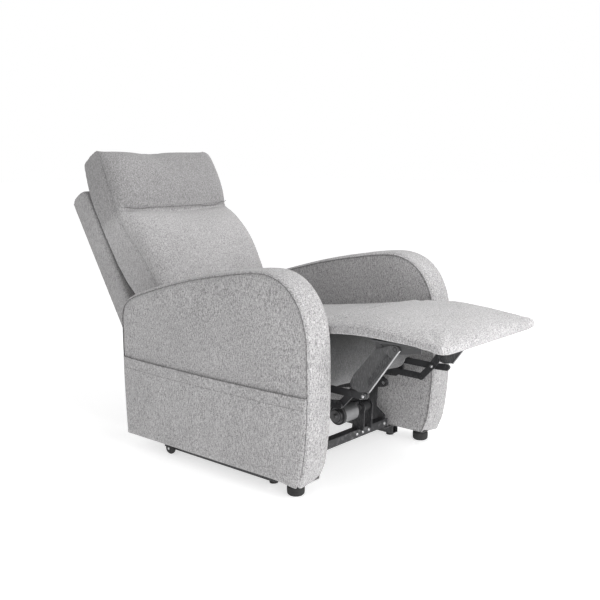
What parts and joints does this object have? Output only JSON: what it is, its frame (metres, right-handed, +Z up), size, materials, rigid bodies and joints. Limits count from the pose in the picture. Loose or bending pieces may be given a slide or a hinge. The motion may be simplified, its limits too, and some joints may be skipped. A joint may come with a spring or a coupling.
{
  "type": "lift recliner chair",
  "caption": "Upholstered lift recliner armchair with reclining back, folding footrest linkage, side pockets and a motor lift base.",
  "frame": {"origin": "on the floor, below the middle of the object's outline with the back reclined and the footrest out", "axes": "+X towards the sitter's left, -Y towards the front, +Z up"},
  "size_m": [0.75, 1.582, 0.9743],
  "materials": {
    "fabric": "matte",
    "black_steel": "satin",
    "grey_steel": "satin",
    "bright_steel": "satin",
    "motor_case": "satin",
    "black_plastic": "matte",
    "rubber": "matte",
    "wood": "matte",
    "dark_cloth": "matte"
  },
  "bodies": {
    "base": {"base_side_rails": "black_steel", "front_base_tube": "black_steel", "rear_base_tube": "black_steel", "base_tube_caps": "bright_steel", "base_uprights": "black_steel", "floor_glides": "rubber", "motor_clevis": "black_steel", "motor_clevis_pin": "bright_steel", "lift_pivot_pins": "bright_steel", "wheel_axles": "bright_steel", "power_supply_box": "black_plastic", "mains_inlet": "black_plastic"},
    "wheel_left": {"transport_wheel_left": "rubber"},
    "wheel_right": {"transport_wheel_right": "rubber"},
    "lift_arms": {"lift_arm_left": "black_steel", "lift_arm_right": "black_steel", "lift_torque_tube": "black_steel", "lift_arm_pins": "bright_steel"},
    "lift_stays": {"lift_stays": "black_steel"},
    "lift_actuator": {"lift_gearbox": "black_plastic", "lift_motor": "motor_case", "lift_spindle_tube": "grey_steel"},
    "lift_rod": {"lift_rod": "bright_steel"},
    "footrest_drive": {"upper_link_left": "black_steel", "upper_link_right": "black_steel", "footrest_torque_tube": "black_steel"},
    "footrest_lower_links": {"lower_links": "black_steel"},
    "footrest_rear_struts": {"rear_strut_left": "black_steel", "rear_strut_right": "black_steel"},
    "footrest_front_struts": {"front_strut_left": "grey_steel", "front_strut_right": "grey_steel"},
    "footrest": {"footrest_brackets": "grey_steel", "footrest_board": "wood", "footrest_pad": "fabric"},
    "back": {"back_brackets": "black_steel", "back_torque_tube": "black_steel", "back_frame": "wood", "back_springs": "bright_steel", "back_shell": "fabric", "back_cushion": "fabric"},
    "recline_actuator": {"recline_actuator": "black_plastic"},
    "recline_rod": {"recline_rod": "bright_steel"},
    "chassis": {"mechanism_rail_left": "black_steel", "mechanism_rail_right": "black_steel", "chassis_cross_bars": "black_steel", "stay_pins": "bright_steel", "seat_side_rails": "wood", "seat_front_rail": "wood", "seat_rear_rail": "wood", "seat_springs": "bright_steel", "seat_cushion": "fabric", "under_seat_cloth": "dark_cloth", "arm_frame_left": "wood", "arm_frame_right": "wood", "arm_cover_left": "fabric", "arm_cover_right": "fabric", "side_pocket_left": "fabric", "side_pocket_right": "fabric", "arm_bolts": "bright_steel", "front_feet": "rubber"}
  },
  "joints": [
    {"name": "lift", "type": "hinge", "parent": "base", "child": "lift_arms", "pos_m": [0, -0.22, 0.228], "axis": [1, 0, 0], "range_deg": [0, 48]},
    {"name": "chassis_tilt", "type": "hinge", "parent": "lift_arms", "child": "chassis", "pos_m": [0, 0.224, 0.18], "axis": [1, 0, 0], "range_deg": [-25.2, 0.2]},
    {"name": "lift_stay_swing", "type": "hinge", "parent": "base", "child": "lift_stays", "pos_m": [0, -0.261, 0.201], "axis": [1, 0, 0], "range_deg": [-0.2, 53.4]},
    {"name": "lift_actuator_swing", "type": "hinge", "parent": "base", "child": "lift_actuator", "pos_m": [0, -0.266, 0.147], "axis": [1, 0, 0], "range_deg": [-0.2, 39.4]},
    {"name": "lift_rod_travel", "type": "slide", "parent": "lift_actuator", "child": "lift_rod", "axis": [0, 0.9894, -0.1453], "range_m": [-0.0005, 0.0582]},
    {"name": "back_recline", "type": "hinge", "parent": "chassis", "child": "back", "pos_m": [0, 0.316, 0.27], "axis": [1, 0, 0], "range_deg": [-12, 22]},
    {"name": "recline_actuator_swing", "type": "hinge", "parent": "chassis", "child": "recline_actuator", "pos_m": [0, -0.15, 0.24], "axis": [1, 0, 0], "range_deg": [-1.4, 2.4]},
    {"name": "recline_rod_travel", "type": "slide", "parent": "recline_actuator", "child": "recline_rod", "axis": [0, 0.9921, -0.1255], "range_m": [-0.0185, 0.0331]},
    {"name": "footrest_fold", "type": "hinge", "parent": "chassis", "child": "footrest_drive", "pos_m": [0, -0.291, 0.298], "axis": [1, 0, 0], "range_deg": [0, 87]},
    {"name": "lower_link_swing", "type": "hinge", "parent": "chassis", "child": "footrest_lower_links", "pos_m": [0, -0.251, 0.256], "axis": [1, 0, 0], "range_deg": [-0.2, 87.2]},
    {"name": "rear_strut_swing", "type": "hinge", "parent": "footrest_drive", "child": "footrest_rear_struts", "pos_m": [0, -0.462, 0.295], "axis": [1, 0, 0], "range_deg": [-87.2, 0.2]},
    {"name": "front_strut_swing", "type": "hinge", "parent": "footrest_drive", "child": "footrest_front_struts", "pos_m": [0, -0.512, 0.297], "axis": [1, 0, 0], "range_deg": [-87.2, 0.2]},
    {"name": "footrest_tilt", "type": "hinge", "parent": "footrest_rear_struts", "child": "footrest", "pos_m": [0, -0.566, 0.444], "axis": [1, 0, 0], "range_deg": [-0.2, 87.2]},
    {"name": "wheel_left_spin", "type": "hinge", "parent": "base", "child": "wheel_left", "pos_m": [0.335, 0.181, 0.0193], "axis": [1, 0, 0], "continuous": true},
    {"name": "wheel_right_spin", "type": "hinge", "parent": "base", "child": "wheel_right", "pos_m": [-0.335, 0.181, 0.0193], "axis": [1, 0, 0], "continuous": true}
  ],
  "couplings": [
    {"joint": "chassis_tilt", "follows": "lift", "ratio": -0.52083},
    {"joint": "lift_stay_swing", "follows": "lift", "ratio": 1.1054},
    {"joint": "lift_actuator_swing", "follows": "lift", "ratio": 0.81397},
    {"joint": "lift_rod_travel", "follows": "lift", "m_per_rad": 0.06871},
    {"joint": "recline_actuator_swing", "follows": "back_recline", "ratio": 0.08712},
    {"joint": "recline_rod_travel", "follows": "back_recline", "m_per_rad": 0.08361},
    {"joint": "lower_link_swing", "follows": "footrest_fold", "ratio": 1},
    {"joint": "rear_strut_swing", "follows": "footrest_fold", "ratio": -1},
    {"joint": "front_strut_swing", "follows": "footrest_fold", "ratio": -1},
    {"joint": "footrest_tilt", "follows": "footrest_fold", "ratio": 1}
  ]
}
